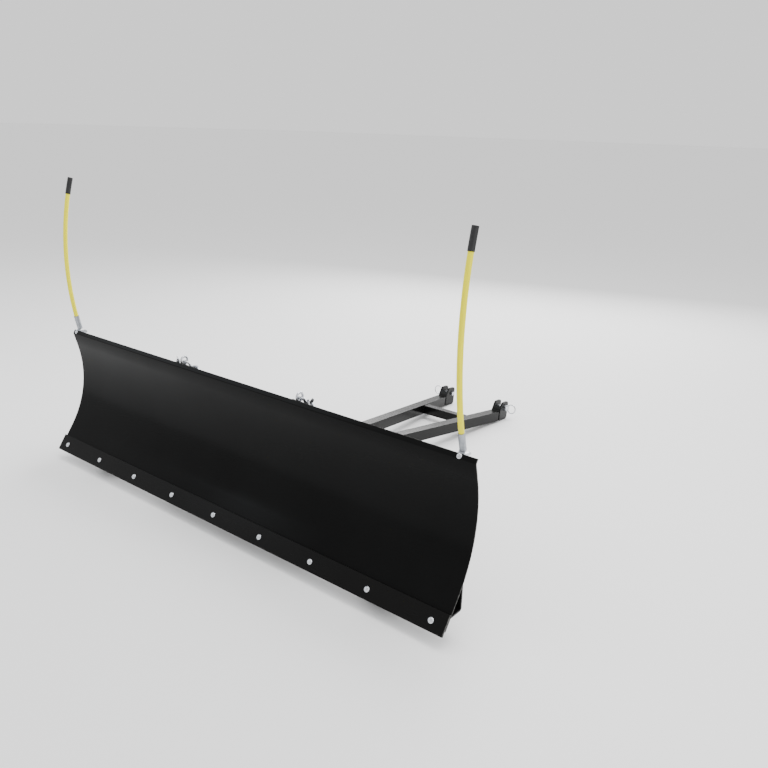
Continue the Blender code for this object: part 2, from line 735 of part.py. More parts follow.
def lip_fasteners(side_name, side):
    """The bolt that clamps a marker behind the lip, and its wing nut."""
    seat = SHEET + 0.0028 + 2 * GAP
    profile = dome(0.0064, 0.0029) + [
        (0.0064, GAP),
        (LIP_BOLT_RADIUS - 0.0004, GAP),
        (LIP_BOLT_RADIUS - 0.0004, -seat - 0.018),
        (0.0, -seat - 0.018),
    ]
    bolt = turned_part(f"marker_bolt_{side_name}", profile, 14)
    place(bolt, LIP_PLANE, (MARKER_X[side_name], 0.0, 0.0), (math.pi / 2, 0.0, 0.0))
    paint(smoothed(baked(bolt)), ZINC)
    nut = wing_nut_shape(f"marker_wing_nut_{side_name}", 1.3)
    cut(nut, cylinder("wing_bore", LIP_BOLT_RADIUS, 0.06, sides=12))
    nut = baked(nut)
    place(nut, LIP_PLANE, (MARKER_X[side_name], seat + GAP, 0.0), (-math.pi / 2, math.radians(-64), 0.0))
    paint(nut, ZINC)


# ---------------------------------------------------------------- skid shoes


def skid_shoe(side_name, side):
    """A dished shoe on its stem, the spacers that set its height, and the lynch pin above the socket."""
    stand = datum(f"skid_datum_{side_name}", BLADE, (side * SKID_X, SKID_Y, SKID_Z), -PARKED_TILT)
    profile = [
        (0.0, STEM_TOP),
        (STEM_RADIUS - 0.0015, STEM_TOP),
        (STEM_RADIUS, STEM_TOP - 0.0015),
        (STEM_RADIUS, COLLAR_TOP - SHOE_DEPTH),
        (SPACER_RADIUS - 0.001, COLLAR_TOP - SHOE_DEPTH),
        (SPACER_RADIUS, 0.012 - SHOE_DEPTH),
        (SHOE_RADIUS - 0.012, 0.0085 - SHOE_DEPTH),
        (SHOE_RADIUS - 0.002, 0.0155 - SHOE_DEPTH),
        (SHOE_RADIUS, 0.0145 - SHOE_DEPTH),
        (SHOE_RADIUS, 0.0110 - SHOE_DEPTH),
        (SHOE_RADIUS * 0.93, 0.0040 - SHOE_DEPTH),
        (SHOE_RADIUS * 0.80, -SHOE_DEPTH),
        (0.0, -SHOE_DEPTH),
    ]
    shoe = place(turned_part(f"skid_shoe_{side_name}", profile, 20), stand)
    cross = cylinder("stem_drill", LYNCH_PIN_RADIUS + 0.0005, 0.05, (0.0, 0.0, LYNCH_PIN_HEIGHT), "X", 12)
    paint(smoothed(baked(cut(shoe, cross))), CAST_IRON)

    low = COLLAR_TOP - SHOE_DEPTH + GAP
    high = -SOCKET_LENGTH / 2 - GAP
    count = 3
    groove = 0.0008
    rings = [(0.0, high)]
    for i in range(count):
        top = high + (low - high) * i / count
        foot = high + (low - high) * (i + 1) / count
        rings += [(SPACER_RADIUS - groove, top), (SPACER_RADIUS, top - groove), (SPACER_RADIUS, foot + groove)]
    rings += [(SPACER_RADIUS - groove, low), (0.0, low)]
    stack = place(turned_part(f"skid_spacers_{side_name}", rings, 16), stand)
    paint(smoothed(baked(cut(stack, cylinder("spacer_bore", STEM_RADIUS + 0.0006, 0.2, sides=16)))), ZINC)

    pin = cylinder(f"skid_lynch_pin_{side_name}", LYNCH_PIN_RADIUS, 0.040, axis="X", sides=10)
    ring = turned_part("lynch_ring", ring_profile(0.0165, 0.0015, 6), 16)
    pin = place(smoothed(baked(join(pin, ring))), stand, (0.0, 0.0, LYNCH_PIN_HEIGHT))
    paint(pin, ZINC)


def ring_profile(radius, wire_radius, steps):
    """A closed circle to turn into a ring, run from top to bottom on its outer side."""
    points = arc((radius, 0.0), wire_radius, math.pi / 2, -1.5 * math.pi, steps)
    return points[:-1] + [points[0]]


# ---------------------------------------------------------------- swivel head


def swivel_head():
    """The beam across behind the blade, with the trip hinge's ears and the arms that the springs pull on."""
    beam_y = -KING_TO_TRIP_PIN + BEAM_FRONT + BEAM_SIZE / 2
    bottom = -TRIP_PIN_DROP - BEAM_SIZE / 2
    beam = place(box("swivel_head", (BEAM_LENGTH, BEAM_SIZE, BEAM_SIZE), (0.0, beam_y, -TRIP_PIN_DROP)), HEAD)
    hollow_size = BEAM_SIZE - 2 * BEAM_WALL
    cut(beam, box("beam_hollow", (BEAM_LENGTH + 0.1, hollow_size, hollow_size), (0.0, beam_y, -TRIP_PIN_DROP)))
    overlap = 0.0025
    front = beam_y - BEAM_SIZE / 2 + overlap
    rear = beam_y + BEAM_SIZE / 2
    ear_side = [(front, bottom + 0.004, 0.0), (front, bottom + BEAM_SIZE - 0.006, 0.0)]
    ear_nose = arc((-KING_TO_TRIP_PIN, -TRIP_PIN_DROP), 0.017, math.radians(80), math.radians(280), 8)
    ear_outline = rounded(ear_side + [(y, z, 0.0) for y, z in ear_nose])
    gusset_outline = [
        (rear - overlap, -PLATE / 2 - GAP, 0.0),
        (rear + 0.052, -PLATE / 2 - GAP, 0.0),
        (rear + 0.052, -PLATE / 2 - 0.008, 0.0),
        (rear + 0.006, bottom + 0.004, 0.0),
        (rear - overlap, bottom + 0.004, 0.0),
    ]
    arm_outline = rounded(
        [
            (beam_y - 0.023, -0.0070, 0.0),
            (rear - 0.002, -0.0070, 0.0),
            (rear + 0.020, 0.004, 0.030),
            (SPRING_FOOT_Y + 0.016, SPRING_FOOT_Z - 0.018, 0.012),
            (SPRING_FOOT_Y + 0.012, SPRING_FOOT_Z + 0.012, 0.012),
            (SPRING_FOOT_Y - 0.018, SPRING_FOOT_Z + 0.006, 0.010),
            (beam_y - 0.015, 0.024, 0.020),
        ]
    )
    pin_places = []
    for _, side in SIDES:
        offset = RIB_THICKNESS / 2 + 0.0006 + EAR / 2
        pieces = [
            plate("hinge_ear_in", ear_outline, EAR),
            plate("hinge_ear_out", ear_outline, EAR),
            plate("spring_arm", arm_outline, EAR),
            plate("gusset", rounded(gusset_outline), EAR),
        ]
        xs = [side * (INNER_RIB_X - offset), side * (INNER_RIB_X + offset), side * ANCHOR_X, side * 0.100]
        for piece, x in zip(pieces, xs):
            join(beam, place(piece, HEAD, (x, 0.0, 0.0), ALONG_X))
        pin_places.append((side * INNER_RIB_X, -KING_TO_TRIP_PIN, -TRIP_PIN_DROP))
    feet = [(side * ANCHOR_X, SPRING_FOOT_Y, SPRING_FOOT_Z) for _, side in SIDES]
    cut(beam, cylinders("hinge_drill", TRIP_PIN_RADIUS + 0.0004, 0.05, pin_places, "X"))
    cut(beam, cylinders("foot_drill", SPRING_FOOT_HOLE, 0.02, feet, "X"))
    paint(beam, BLACK_PAINT)


def turntable_plate():
    """The indexed plate welded on the beam, with the bush that the king bolt runs in."""
    front = -KING_TO_TRIP_PIN + BEAM_FRONT + 0.003
    outline = [(-TURNTABLE_RADIUS, front), (TURNTABLE_RADIUS, front)]
    outline += arc((0.0, 0.0), TURNTABLE_RADIUS, 0.0, math.pi, 28)
    table = place(plate("turntable_plate", outline, PLATE), HEAD)
    bush = cylinder("bush", BUSH_RADIUS, TUBE_SIZE - 0.0006, sides=24)
    king_bore = cylinder("king_bore", KING_RADIUS + 0.0006, 0.1, sides=20)
    angles = [math.pi / 2 + INDEX_STEP * step for step in range(-3, 4)]
    holes = [(INDEX_RADIUS * math.cos(a), INDEX_RADIUS * math.sin(a), 0.0) for a in angles]
    index_drill = cylinders("index_drill", INDEX_HOLE_RADIUS, 0.03, holes, sides=16)
    paint(smoothed(baked(cut(join(table, bush), king_bore, index_drill))), BLACK_PAINT)


def trip_pin(side_name, side):
    """The hinge pin through a lug and its two ears, with a head outside and a clip inside."""
    reach = RIB_THICKNESS / 2 + 0.0006 + EAR
    profile = [
        (0.0, reach + 0.0065),
        (0.0095, reach + 0.0065),
        (0.0105, reach + 0.0050),
        (0.0105, reach + GAP),
        (TRIP_PIN_RADIUS, reach + GAP),
        (TRIP_PIN_RADIUS, -reach - 0.003),
        (0.0095, -reach - 0.003),
        (0.0095, -reach - 0.0048),
        (TRIP_PIN_RADIUS, -reach - 0.0048),
        (TRIP_PIN_RADIUS - 0.001, -reach - 0.008),
        (0.0, -reach - 0.008),
    ]
    pin = smoothed(baked(turned_part(f"trip_pin_{side_name}", profile, 14)))
    place(pin, HEAD, (side * INNER_RIB_X, -KING_TO_TRIP_PIN, -TRIP_PIN_DROP), (0.0, side * math.pi / 2, 0.0))
    paint(pin, ZINC)


def trip_spring(side_name, side):
    """A close-wound extension spring, from the ring behind the blade's lip down to the head's arm."""
    top = Vector((ANCHOR_Y, ANCHOR_Z))
    foot = head_to_blade(KING_TO_TRIP_PIN + SPRING_FOOT_Y, TRIP_PIN_DROP + SPRING_FOOT_Z)
    along = (foot - top).normalized()
    top += along * (EYE_RADIUS - EYE_WIRE - SPRING_WIRE - 0.0006)
    foot -= along * (SPRING_FOOT_HOLE - SPRING_WIRE - 0.0008)
    length = (foot - top).length
    hook = []
    for degrees in range(140, -91, -23):
        angle = math.radians(degrees)
        hook.append((HOOK_RADIUS * math.sin(angle), 0.0, HOOK_RADIUS * (1 - math.cos(angle))))
    hook.append((-HOOK_RADIUS - 0.001, 0.0, HOOK_RADIUS + 0.007))
    hook.append((-SPRING_RADIUS + 0.0008, 0.0032, SPRING_HOOK - 0.011))
    hook.append((-SPRING_RADIUS, 0.0030, SPRING_HOOK - 0.0045))
    other_hook = [(x, -y, length - z) for x, y, z in reversed(hook)]
    per_turn = 7
    count = SPRING_TURNS * per_turn
    coil = []
    for i in range(count + 1):
        x, y = arc((0.0, 0.0), SPRING_RADIUS, math.pi + 2 * math.pi * i / per_turn, 0.0, 1)[0]
        coil.append((x, y, SPRING_HOOK + (length - 2 * SPRING_HOOK) * i / count))
    spring = wire(f"trip_spring_{side_name}", hook + coil + other_hook, SPRING_WIRE, 6)
    tilt = math.atan2(along.x, along.y)
    place(spring, BLADE, (side * ANCHOR_X, top.x, top.y), (-tilt, 0.0, 0.0))
    paint(spring, ZINC)


# ---------------------------------------------------------------- push frame


def half_spread(y):
    """How far a push tube's middle line stands from the frame's middle at y."""
    return FRONT_HALF_SPREAD + (REAR_HALF_SPREAD - FRONT_HALF_SPREAD) * (y - TONGUE_FRONT_Y) / (
        FRAME_LENGTH - TONGUE_FRONT_Y
    )


def tongue(name, centre_z):
    """One of the two plates above and below the push tubes' front ends, with the king bolt and latch holes."""
    shoulder = FRONT_HALF_SPREAD + TUBE_SIZE / 2 - 0.001
    rear = half_spread(TONGUE_REAR_Y) + TUBE_SIZE / 2 - 0.002
    corners = [
        (rear, TONGUE_REAR_Y, 0.010),
        (-rear, TONGUE_REAR_Y, 0.010),
        (-shoulder, TONGUE_FRONT_Y - 0.005, 0.040),
    ]
    nose = arc((0.0, 0.0), TONGUE_RADIUS, math.radians(170), math.radians(370), 16)
    outline = rounded(corners + [(x, y, 0.0) for x, y in nose] + [(shoulder, TONGUE_FRONT_Y - 0.005, 0.040)])
    tongue_plate = place(plate(name, outline, PLATE), PUSH_FRAME, (0.0, 0.0, centre_z))
    king = place(cylinder("king_drill", KING_RADIUS + 0.0005, 0.04, sides=20), PUSH_FRAME, (0.0, 0.0, centre_z))
    latch = place(cylinder("latch_drill", LATCH_RADIUS + 0.0006, 0.04, sides=20), PUSH_FRAME)
    latch.location = (0.0, INDEX_RADIUS, centre_z)
    paint(baked(cut(tongue_plate, king, latch)), BLACK_PAINT)


def push_tube(side_name, side):
    """A square tube, open at both ends, running back and outward from between the tongue plates."""
    start = Vector((side * FRONT_HALF_SPREAD, TONGUE_FRONT_Y))
    end = Vector((side * REAR_HALF_SPREAD, FRAME_LENGTH))
    length = (end - start).length
    middle = (start + end) / 2
    turn = -math.atan2(end.x - start.x, end.y - start.y)
    tube = box(f"push_tube_{side_name}", (TUBE_SIZE, length, TUBE_SIZE))
    place(tube, PUSH_FRAME, (*middle, 0.0), (0.0, 0.0, turn))
    inner = TUBE_SIZE - 2 * TUBE_WALL
    hollow = place(box("tube_hollow", (inner, length + 0.1, inner)), PUSH_FRAME, (*middle, 0.0), (0.0, 0.0, turn))
    paint(baked(cut(tube, hollow)), BLACK_PAINT)


def cross_tube():
    """The square tube between the push tubes, its ends cut to their slant."""
    low = CROSS_TUBE_Y - CROSS_TUBE_SIZE / 2
    high = CROSS_TUBE_Y + CROSS_TUBE_SIZE / 2
    reach = [half_spread(y) - TUBE_SIZE / 2 - 0.0006 for y in (low, high)]
    outline = [(-reach[0], low), (reach[0], low), (reach[1], high), (-reach[1], high)]
    tube = place(plate("rear_cross_tube", outline, CROSS_TUBE_SIZE), PUSH_FRAME)
    inner = CROSS_TUBE_SIZE - 2 * TUBE_WALL
    hollow = box("cross_hollow", (0.4, inner, inner), (0.0, CROSS_TUBE_Y, 0.0))
    paint(baked(cut(tube, hollow)), BLACK_PAINT)


def king_bolt():
    """The bolt that the blade swings on, with its washers and nut."""
    top = TUBE_SIZE / 2 + GAP + PLATE + GAP
    profile = [
        (0.0, top + 0.003),
        (0.0185, top + 0.003),
        (0.0185, top),
        (KING_RADIUS, top),
        (KING_RADIUS, -top),
        (0.0185, -top),
        (0.0185, -top - 0.003),
        (KING_RADIUS, -top - 0.003),
        (KING_RADIUS, -top - 0.024),
        (KING_RADIUS - 0.0015, -top - 0.026),
        (0.0, -top - 0.026),
    ]
    bolt = place(turned_part("king_bolt", profile, 16), PUSH_FRAME)
    head = cylinder("king_head", 0.0160, 0.0135, (0.0, 0.0, top + 0.0085), sides=6)
    nut = cylinder("king_nut", 0.0160, 0.0170, (0.0, 0.0, -top - 0.0110), sides=6)
    paint(smoothed(baked(join(bolt, head, nut))), ZINC)


def lift_loop():
    """The bent bar that the winch hook lifts the plow by."""
    foot_z = TUBE_SIZE / 2 + PLATE + 2 * GAP
    half = LIFT_LOOP_WIDTH / 2
    crown = arc((0.0, LIFT_LOOP_HEIGHT - half), half, math.pi, 0.0, 10)
    line = [(-half, 0.0, foot_z)] + [(x, 0.0, foot_z + z) for x, z in crown] + [(half, 0.0, foot_z)]
    loop = place(wire("lift_loop", line, LIFT_LOOP_BAR, 12), PUSH_FRAME, (0.0, LIFT_LOOP_Y, 0.0))
    paint(loop, BLACK_PAINT)


def latch():
    """The spring-loaded pin that holds the blade's angle: its housing, the pin with its T-handle, and the spring."""
    floor_z = TUBE_SIZE / 2 + PLATE + 2 * GAP
    roof = floor_z + LATCH_HOUSING_HEIGHT
    outer = [(0.0, roof), (0.0120, roof), (0.0160, roof - 0.004), (0.0160, floor_z + 0.006)]
    outer += [(0.0235, floor_z + 0.005), (0.0235, floor_z), (0.0, floor_z)]
    housing = place(turned_part("latch_housing", outer, 20), PUSH_FRAME, (0.0, INDEX_RADIUS, 0.0))
    chamber_top = roof - 0.006
    chamber = cylinder("latch_chamber", 0.0130, chamber_top - floor_z + 0.02)
    place(chamber, PUSH_FRAME, (0.0, INDEX_RADIUS, (chamber_top + floor_z - 0.02) / 2))
    neck = cylinder("latch_neck", LATCH_STEM_RADIUS + 0.0006, 0.06, sides=16)
    place(neck, PUSH_FRAME, (0.0, INDEX_RADIUS, roof))
    paint(smoothed(baked(cut(housing, chamber, neck))), BLACK_PAINT)

    handle_z = roof + 0.030
    tip = -TUBE_SIZE / 2 - PLATE + 0.001
    profile = [
        (0.0, handle_z),
        (LATCH_STEM_RADIUS, handle_z),
        (LATCH_STEM_RADIUS, floor_z + LATCH_COLLAR),
        (0.0118, floor_z + LATCH_COLLAR),
        (0.0118, floor_z + GAP),
        (LATCH_RADIUS, floor_z + GAP),
        (LATCH_RADIUS, tip + 0.003),
        (LATCH_RADIUS - 0.002, tip),
        (0.0, tip),
    ]
    pin = place(turned_part("latch_pin", profile, 18), PUSH_FRAME, (0.0, INDEX_RADIUS, 0.0))
    handle = cylinder("latch_handle", 0.0062, 0.084, axis="X", sides=14)
    place(handle, PUSH_FRAME, (0.0, INDEX_RADIUS, handle_z))
    paint(smoothed(baked(join(pin, handle))), ZINC)

    low = floor_z + LATCH_COLLAR + LATCH_SPRING_WIRE + GAP
    high = chamber_top - LATCH_SPRING_WIRE - GAP
    per_turn = 8
    count = LATCH_SPRING_TURNS * per_turn
    coil = []
    for i in range(count + 1):
        x, y = arc((0.0, 0.0), LATCH_SPRING_RADIUS, 2 * math.pi * i / per_turn, 0.0, 1)[0]
        coil.append((x, y, low + (high - low) * i / count))
    spring = wire("latch_spring", coil, LATCH_SPRING_WIRE, 4)
    paint(place(spring, PUSH_FRAME, (0.0, INDEX_RADIUS, 0.0)), ZINC)


def mount_clevis(side_name, side):
    """The two cheeks at a push tube's rear end, either side of the vehicle's bracket."""
    base_y = FRAME_LENGTH + 0.0045
    cheek = [
        (base_y, -TUBE_SIZE / 2, 0.0),
        (FRAME_LENGTH + CLEVIS_REACH, -TUBE_SIZE / 2, CLEVIS_CORNER_RADIUS),
        (FRAME_LENGTH + CLEVIS_REACH, CLEVIS_TOP_Z, CLEVIS_CORNER_RADIUS),
        (FRAME_LENGTH + 0.020, CLEVIS_TOP_Z, 0.014),
        (base_y, TUBE_SIZE / 2 + 0.002, 0.0),
    ]
    block = plate(f"mount_clevis_{side_name}", rounded(cheek, 5), CLEVIS_WIDTH)
    place(block, PUSH_FRAME, (side * REAR_HALF_SPREAD, 0.0, 0.0), ALONG_X)
    gap = box("clevis_gap", (CLEVIS_GAP, 0.2, 0.3), (0.0, base_y + 0.008 + 0.1, 0.0))
    place(gap, PUSH_FRAME, (side * REAR_HALF_SPREAD, 0.0, 0.0))
    drill = cylinder("clevis_drill", HITCH_PIN_RADIUS + 0.0005, 0.08, axis="X", sides=20)
    place(drill, PUSH_FRAME, (side * REAR_HALF_SPREAD, HITCH_PIN_Y, HITCH_PIN_Z))
    paint(baked(cut(block, gap, drill)), BLACK_PAINT)


def hitch_pin(side_name, side):
    """A quick-release pin through a clevis: pull ring outside, locking balls inside."""
    half = CLEVIS_WIDTH / 2
    profile = [
        (0.0, half + 0.0125),
        (0.0090, half + 0.0125),
        (0.0125, half + 0.0090),
        (0.0125, half + GAP),
        (HITCH_PIN_RADIUS, half + GAP),
        (HITCH_PIN_RADIUS, -half - 0.0065),
        (HITCH_PIN_RADIUS - 0.002, -half - 0.0085),
        (0.0, -half - 0.0085),
    ]
    pin = turned_part(f"hitch_pin_{side_name}", profile, 18)
    ring = place(turned_part("pull_ring", ring_profile(0.0170, 0.0020, 6), 16), None)
    place(ring, None, (0.0, 0.0, half + 0.0125 + 0.0145), (math.pi / 2, 0.0, 0.0))
    pin = smoothed(baked(join(pin, ring)))
    place(pin, PUSH_FRAME, (side * REAR_HALF_SPREAD, HITCH_PIN_Y, HITCH_PIN_Z), (0.0, side * math.pi / 2, 0.0))
    paint(pin, ZINC)


# ---------------------------------------------------------------- the whole plow

mouldboard()
wear_bar()
wear_bar_bolts()
lower_stiffener()
swivel_head()
turntable_plate()
tongue("tongue_upper", TUBE_SIZE / 2 + GAP + PLATE / 2)
tongue("tongue_lower", -TUBE_SIZE / 2 - GAP - PLATE / 2)
cross_tube()
king_bolt()
lift_loop()
latch()
for part_of_pair in (
    outer_rib,
    inner_rib,
    spring_eyebolt,
    wing_stud,
    skid_socket,
    skid_shoe,
    marker,
    lip_fasteners,
    trip_pin,
    trip_spring,
    push_tube,
    mount_clevis,
    hitch_pin,
):
    for side_name, side in SIDES:
        part_of_pair(side_name, side)
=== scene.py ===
"""The looks of a 60 inch ATV snow plow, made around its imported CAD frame.

It gives the CAD pieces their finishes and eased edges, and adds the wound springs, the threaded bolts and the welds,
on a pale floor in soft studio light.

Metres, +Z up. The blade faces -Y, and the origin is on the floor under the middle of the plow.
"""

import json
import math

import bmesh
import bpy
from mathutils import Matrix, Vector, noise


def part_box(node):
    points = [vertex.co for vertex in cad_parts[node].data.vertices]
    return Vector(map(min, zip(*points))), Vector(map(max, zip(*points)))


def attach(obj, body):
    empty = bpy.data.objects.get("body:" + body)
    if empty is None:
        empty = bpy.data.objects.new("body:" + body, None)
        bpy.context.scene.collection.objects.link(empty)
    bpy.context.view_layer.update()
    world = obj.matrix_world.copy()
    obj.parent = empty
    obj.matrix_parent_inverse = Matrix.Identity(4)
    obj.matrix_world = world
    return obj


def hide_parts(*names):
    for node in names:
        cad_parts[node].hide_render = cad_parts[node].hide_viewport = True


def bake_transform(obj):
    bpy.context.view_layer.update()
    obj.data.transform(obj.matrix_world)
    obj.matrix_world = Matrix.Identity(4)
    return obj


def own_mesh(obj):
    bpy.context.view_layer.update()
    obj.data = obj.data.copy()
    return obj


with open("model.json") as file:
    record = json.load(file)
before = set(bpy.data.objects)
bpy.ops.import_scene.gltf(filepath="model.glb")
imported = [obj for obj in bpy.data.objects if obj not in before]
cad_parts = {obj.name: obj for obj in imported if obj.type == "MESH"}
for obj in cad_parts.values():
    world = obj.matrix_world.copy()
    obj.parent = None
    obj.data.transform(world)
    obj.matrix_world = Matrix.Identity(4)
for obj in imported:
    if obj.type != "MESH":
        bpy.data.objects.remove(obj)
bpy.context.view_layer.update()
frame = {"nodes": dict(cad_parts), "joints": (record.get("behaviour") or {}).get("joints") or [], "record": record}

# ---------------------------------------------------------------- datums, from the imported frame

JOINTS = {joint["name"]: joint for joint in frame["joints"]}
KING = Vector(JOINTS["head_swivel"]["pos_m"])
FRAME_UP = Vector(JOINTS["head_swivel"]["axis"])
FRAME_BACK = FRAME_UP.cross(Vector((1.0, 0.0, 0.0)))
TRIP_PIN = Vector(JOINTS["blade_trip"]["pos_m"])
BLADE_ZERO = TRIP_PIN - Vector((0.0, 0.130, 0.070))

# Blade profile, as in the CAD: (y, z) from the wear bar's lower front edge.
SHEET = 0.0034
GAP = 0.0003
FACE = 0.00635 + GAP
LOWER_LEAN = math.radians(34.5)
UPPER_LEAN = math.radians(-15.0)
LOWER_FLAT = 0.090
CURVE_RADIUS = 0.318
UPPER_FLAT = 0.043

BOLT_COUNT = 9
BOLT_SPACING = 0.1809
BOLT_HEIGHT = 0.0235
INNER_RIB_X = 0.198
OUTER_RIB_X = 0.470
RIB_HALF = 0.0032
ANCHOR_X = 0.228
ANCHOR_Y = 0.1165
ANCHOR_Z = 0.3885
SPRING_FOOT_Y = 0.030
SPRING_FOOT_Z = 0.058
SPRING_RADIUS = 0.0180
SPRING_WIRE = 0.0031
SPRING_TURNS = 27
SPRING_HOOK = 0.042
HOOK_RADIUS = 0.0125
STIFFENER_BACK_Y = 0.0798

# Swivel head and push frame, as in the CAD: y is the distance behind the king bolt, and z is up its axis.
BEAM_FRONT_Y = -0.1000
EAR_OFFSET = 0.0068
EAR_HALF = 0.0030
BUSH_RADIUS = 0.0246
TUBE_HALF = 0.019
TONGUE_FRONT_Y = 0.145
FRAME_LENGTH = 1.040
FRONT_HALF_SPREAD = 0.040
REAR_HALF_SPREAD = 0.125
CROSS_TUBE_Y = 0.880
CROSS_TUBE_HALF = 0.016
TONGUE_TOP_Z = 0.0276
LIFT_LOOP_Y = 0.205
LIFT_LOOP_LEG_X = 0.032
LIFT_LOOP_BAR = 0.0066
LATCH_Y = 0.110
LATCH_FLANGE_RADIUS = 0.0238
LATCH_COIL_LOW = 0.0329
LATCH_COIL_HIGH = 0.0823
LATCH_COIL_RADIUS = 0.0108
LATCH_COIL_WIRE = 0.0010
SIDES = (("left", -1.0), ("right", 1.0))


def up(lean):
    """The direction up a surface of the blade that leans back from the vertical."""
    return Vector((0.0, math.sin(lean), math.cos(lean)))


def back(lean):
    """The direction square to that surface, towards its back."""
    return Vector((0.0, math.cos(lean), -math.sin(lean)))


CURVE_CENTRE = back(LOWER_LEAN) * (FACE - CURVE_RADIUS) + up(LOWER_LEAN) * LOWER_FLAT
RIDGE = CURVE_CENTRE + back(UPPER_LEAN) * CURVE_RADIUS + up(UPPER_LEAN) * UPPER_FLAT
BLADE_END, _, LIP_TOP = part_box("mouldboard")[1]


def on_blade(x, y, z):
    return BLADE_ZERO + Vector((x, y, z))


def on_frame(x, y, z):
    return KING + Vector((x, 0.0, 0.0)) + FRAME_BACK * y + FRAME_UP * z


# ---------------------------------------------------------------- materials


class Finish:
    """A node material under construction: a Principled shader, with helpers that add and join its nodes."""

    def __init__(self, name, **sockets):
        self.material = bpy.data.materials.new(name)
        self.material.use_nodes = True
        self.tree = self.material.node_tree
        self.shader = self.tree.nodes["Principled BSDF"]
        self.coordinates = self.tree.nodes.new("ShaderNodeTexCoord").outputs["Object"]
        for socket, value in sockets.items():
            self.shader.inputs[socket.replace("_", " ")].default_value = value

    def node(self, kind, inputs=None, **settings):
        made = self.tree.nodes.new(kind)
        for setting, value in settings.items():
            setattr(made, setting, value)
        for socket, value in (inputs or {}).items():
            if isinstance(value, bpy.types.NodeSocket):
                self.tree.links.new(value, made.inputs[socket])
            else:
                made.inputs[socket].default_value = value
        return made

    def noise(self, scale, detail=3.0, roughness=0.5, stretch=(1.0, 1.0, 1.0)):
        placed = self.node("ShaderNodeMapping", {"Vector": self.coordinates, "Scale": stretch})
        inputs = {"Vector": placed.outputs[0], "Scale": scale, "Detail": detail, "Roughness": roughness}
        return self.node("ShaderNodeTexNoise", inputs).outputs["Fac"]

    def ramp(self, value, low, high, start=0.0, end=1.0):
        """value mapped from low..high to start..end, and held there outside it."""
        inputs = {"Value": value, "From Min": low, "From Max": high, "To Min": start, "To Max": end}
        return self.node("ShaderNodeMapRange", inputs).outputs[0]

    def math(self, operation, *values):
        return self.node("ShaderNodeMath", dict(enumerate(values)), operation=operation).outputs[0]

    def times(self, first, second):
        return self.math("MULTIPLY", first, second)

    def mix(self, share, first, second):
        first = (*first, 1.0) if isinstance(first, tuple) else first
        second = (*second, 1.0) if isinstance(second, tuple) else second
        inputs = {"Factor": share, 6: first, 7: second}
        return self.node("ShaderNodeMix", inputs, data_type="RGBA").outputs[2]

    def feed(self, socket, value):
        self.tree.links.new(value, self.shader.inputs[socket])

    def bump(self, *layers):
        """Bumps (height, strength, distance) laid over each other."""
        normal = None
        for height, strength, distance in layers:
            inputs = {"Height": height, "Strength": strength, "Distance": distance}
            if normal is not None:
                inputs["Normal"] = normal
            normal = self.node("ShaderNodeBump", inputs).outputs[0]
        self.feed("Normal", normal)

    def facing_up(self):
        normal = self.node("ShaderNodeNewGeometry").outputs["Normal"]
        return self.node("ShaderNodeSeparateXYZ", {0: normal}).outputs[2]

    def across(self):
        return self.node("ShaderNodeSeparateXYZ", {0: self.coordinates}).outputs[0]

    def height(self):
        return self.node("ShaderNodeSeparateXYZ", {0: self.coordinates}).outputs[2]


def black_paint(name, light, gloss, roughness, dust, peel, painted_edge_highlight=False):
    """Black powder coat: slightly wavy, with a fine orange peel, faint wipe marks and a little dust on top.

    painted_edge_highlight greys the blade's two ends and the top of its lip: a painted highlight where light catches
    those edges, patchy like a thin coat.
    """
    finish = Finish(name, Specular_IOR_Level=gloss)
    cloudy = finish.noise(2.3, 4.0, 0.6)
    wipes = finish.noise(7.0, 6.0, 0.7, (0.25, 1.0, 1.0))
    specks = finish.ramp(finish.noise(420.0, 1.0), 0.70, 0.78)
    level = finish.ramp(finish.facing_up(), 0.80, 1.0)
    film = finish.times(level, finish.ramp(finish.noise(160.0, 6.0, 0.7), 0.35, 0.80, 0.0, dust))
    dark = tuple(channel * 0.55 for channel in light)
    paint = finish.mix(finish.ramp(cloudy, 0.35, 0.7), dark, light)
    wiped = finish.times(specks, finish.ramp(wipes, 0.45, 0.75, 0.0, 0.05))
    paint = finish.mix(wiped, paint, (0.16, 0.16, 0.15))
    paint = finish.mix(film, paint, (0.060, 0.059, 0.057))
    if painted_edge_highlight:
        # Painted highlight: pale grey patches on the blade's two ends and the top of its lip, where light catches
        # those edges.
        patchy = finish.ramp(finish.noise(60.0, 5.0, 0.7), 0.42, 0.62)
        ends = finish.ramp(finish.math("ABSOLUTE", finish.across()), BLADE_END - 0.0006, BLADE_END)
        top = finish.ramp(finish.height(), LIP_TOP - 0.0012, LIP_TOP - 0.0004, 0.0, 0.8)
        edge = finish.math("MAXIMUM", ends, top)
        paint = finish.mix(finish.times(edge, patchy), paint, (0.115, 0.112, 0.105))
    finish.feed("Base Color", paint)
    finish.feed("Roughness", finish.ramp(wipes, 0.35, 0.75, roughness * 0.82, roughness * 1.30))
    finish.bump(
        (finish.noise(3.0, 2.0), 0.35, 0.006),
        (finish.noise(620.0, 2.0, 0.55), peel, 0.00035),
    )
    return finish.material


def zinc(name, light, roughness, grain):
    """Zinc plate: bluish, finely grained, with cloudier and duller patches."""
    finish = Finish(name, Metallic=1.0)
    patches = finish.noise(75.0, 4.0, 0.6)
    dull = tuple(channel * 0.66 for channel in light)
    warm = (light[0] * 0.95, light[1] * 0.90, light[2] * 0.80)
    colour = finish.mix(finish.ramp(patches, 0.35, 0.75), light, dull)
    colour = finish.mix(finish.ramp(finish.noise(28.0, 2.0), 0.55, 0.75, 0.0, 0.35), colour, warm)
    finish.feed("Base Color", colour)
    grainy = finish.noise(190.0, 5.0, 0.7)
    finish.feed("Roughness", finish.ramp(grainy, 0.3, 0.75, roughness * 0.75, roughness * 1.5))
    finish.bump((finish.noise(900.0, 3.0), grain, 0.0003))
    return finish.material


